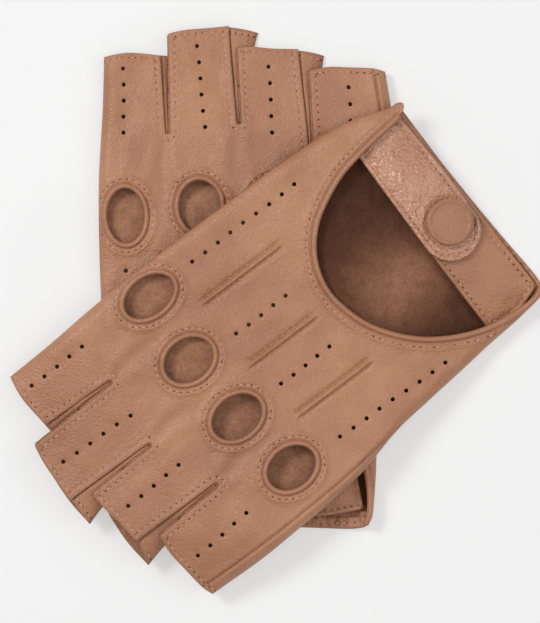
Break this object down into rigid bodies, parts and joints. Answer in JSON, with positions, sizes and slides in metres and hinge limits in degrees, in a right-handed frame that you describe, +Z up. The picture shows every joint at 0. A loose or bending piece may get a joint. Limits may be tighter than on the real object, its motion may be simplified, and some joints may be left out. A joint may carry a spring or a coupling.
{
  "type": "pair of fingerless driving gloves",
  "caption": "Leather fingerless driving gloves lying crossed, with bound knuckle holes, an open back and a snap wrist strap.",
  "frame": {"origin": "middle of the pair's footprint, on the surface that it lies on", "axes": "+Z up from the backs of the hands, +Y towards the lower glove's fingertips, +X towards the upper glove's wrist"},
  "size_m": [0.1822, 0.1974, 0.0177],
  "materials": {
    "leather": "satin",
    "suede": "matte",
    "elastic": "matte",
    "brass": "satin"
  },
  "bodies": {
    "right_glove": {"right_back_panel": "leather", "right_palm_panel": "leather", "right_side_wrap": "leather", "right_fourchette_pinky_ring": "leather", "right_fourchette_ring_middle": "leather", "right_fourchette_middle_index": "leather", "right_knuckle_binding_index": "leather", "right_knuckle_binding_middle": "leather", "right_knuckle_binding_ring": "leather", "right_knuckle_binding_pinky": "leather", "right_opening_binding": "leather", "right_wrist_hem": "leather", "right_wrist_elastic": "elastic", "right_tab_lining": "suede", "right_tab_face": "leather", "right_snap_stud": "brass", "right_stud_rivet": "brass", "right_strap_root": "leather"},
    "right_strap": {"right_strap_lining": "suede", "right_strap_face": "leather", "right_snap_socket": "brass", "right_snap_cap": "leather"},
    "right_thumb": {"right_thumb_lower": "leather", "right_thumb_upper": "leather"},
    "left_glove": {"left_back_panel": "leather", "left_palm_panel": "leather", "left_side_wrap": "leather", "left_fourchette_pinky_ring": "leather", "left_fourchette_ring_middle": "leather", "left_fourchette_middle_index": "leather", "left_knuckle_binding_index": "leather", "left_knuckle_binding_middle": "leather", "left_knuckle_binding_ring": "leather", "left_knuckle_binding_pinky": "leather", "left_opening_binding": "leather", "left_wrist_hem": "leather", "left_wrist_elastic": "elastic", "left_tab_lining": "suede", "left_tab_face": "leather", "left_snap_stud": "brass", "left_stud_rivet": "brass", "left_strap_root": "leather"},
    "left_strap": {"left_strap_lining": "suede", "left_strap_face": "leather", "left_snap_socket": "brass", "left_snap_cap": "leather"},
    "left_thumb": {"left_thumb_lower": "leather", "left_thumb_upper": "leather"}
  },
  "joints": [
    {"name": "left_glove_lift", "type": "slide", "parent": "right_glove", "child": "left_glove", "axis": [0, 0, 1], "range_m": [0, 0.2]},
    {"name": "right_strap_hinge", "type": "hinge", "parent": "right_glove", "child": "right_strap", "pos_m": [-0.0423, -0.06301, 0.0063], "axis": [-0.0617, -0.9981, 0], "range_deg": [0, 120]},
    {"name": "left_strap_hinge", "type": "hinge", "parent": "left_glove", "child": "left_strap", "pos_m": [0.0372, 0.05827, 0.0144], "axis": [-0.7362, -0.6755, 0.0401], "range_deg": [0, 150]},
    {"name": "right_thumb_hinge", "type": "hinge", "parent": "right_glove", "child": "right_thumb", "pos_m": [-0.04352, -0.01522, 0], "axis": [0, 0, 1], "range_deg": [0, 60]},
    {"name": "left_thumb_hinge", "type": "hinge", "parent": "left_glove", "child": "left_thumb", "pos_m": [-0.00071, 0.02915, 0.0085], "axis": [0, 0, -1], "range_deg": [0, 60]}
  ],
  "couplings": [
    {"joint": "right_strap_hinge", "follows": "left_glove_lift", "rad_per_m": 10.471}
  ]
}
